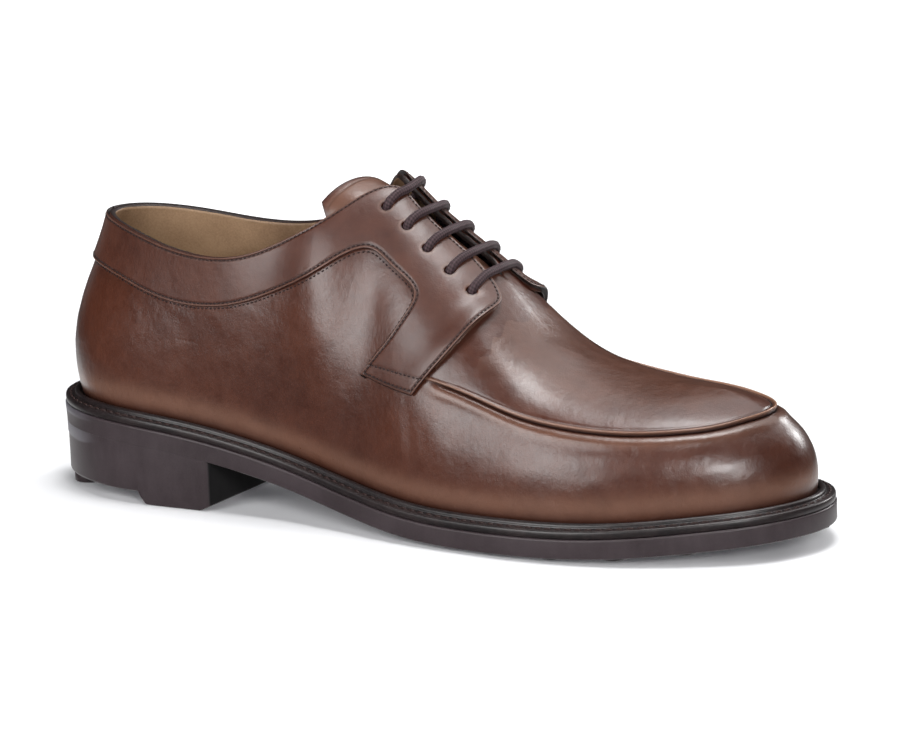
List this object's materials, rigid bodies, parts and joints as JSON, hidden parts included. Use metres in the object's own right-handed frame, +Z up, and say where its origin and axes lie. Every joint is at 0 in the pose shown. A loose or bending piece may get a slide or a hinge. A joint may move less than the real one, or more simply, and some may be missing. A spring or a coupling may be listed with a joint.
{
  "type": "derby shoe",
  "caption": "Right-foot leather derby shoe with an apron front, open lacing, stitched welt and studded rubber sole and heel; worn on the foot",
  "frame": {"origin": "middle of the bounding box at floor level, under the sole", "axes": "+X points to the toe, +Y to the inner side of the right foot, +Z up"},
  "size_m": [0.3022, 0.1032, 0.1223],
  "materials": {
    "sole_rubber": "matte dark grey-brown rubber",
    "heel_rubber": "matte dark grey-brown rubber",
    "welt_leather": "near-black stitched welt",
    "insole_leather": "natural tan",
    "upper_leather": "polished mid brown, burnished",
    "apron_leather": "polished mid brown, burnished",
    "quarter_outer_leather": "polished mid brown",
    "quarter_inner_leather": "polished mid brown",
    "tongue_leather": "polished mid brown",
    "lace_cord": "dark brown waxed cord"
  },
  "bodies": {
    "root": {"outsole": "sole_rubber", "heel": "heel_rubber", "welt": "welt_leather", "insole": "insole_leather", "upper": "upper_leather", "apron": "apron_leather", "quarter_outer": "quarter_outer_leather", "quarter_inner": "quarter_inner_leather", "tongue": "tongue_leather", "lace_bar_1": "lace_cord", "lace_bar_2": "lace_cord", "lace_bar_3": "lace_cord", "lace_bar_4": "lace_cord", "lace_bar_5": "lace_cord"}
  },
  "joints": []
}
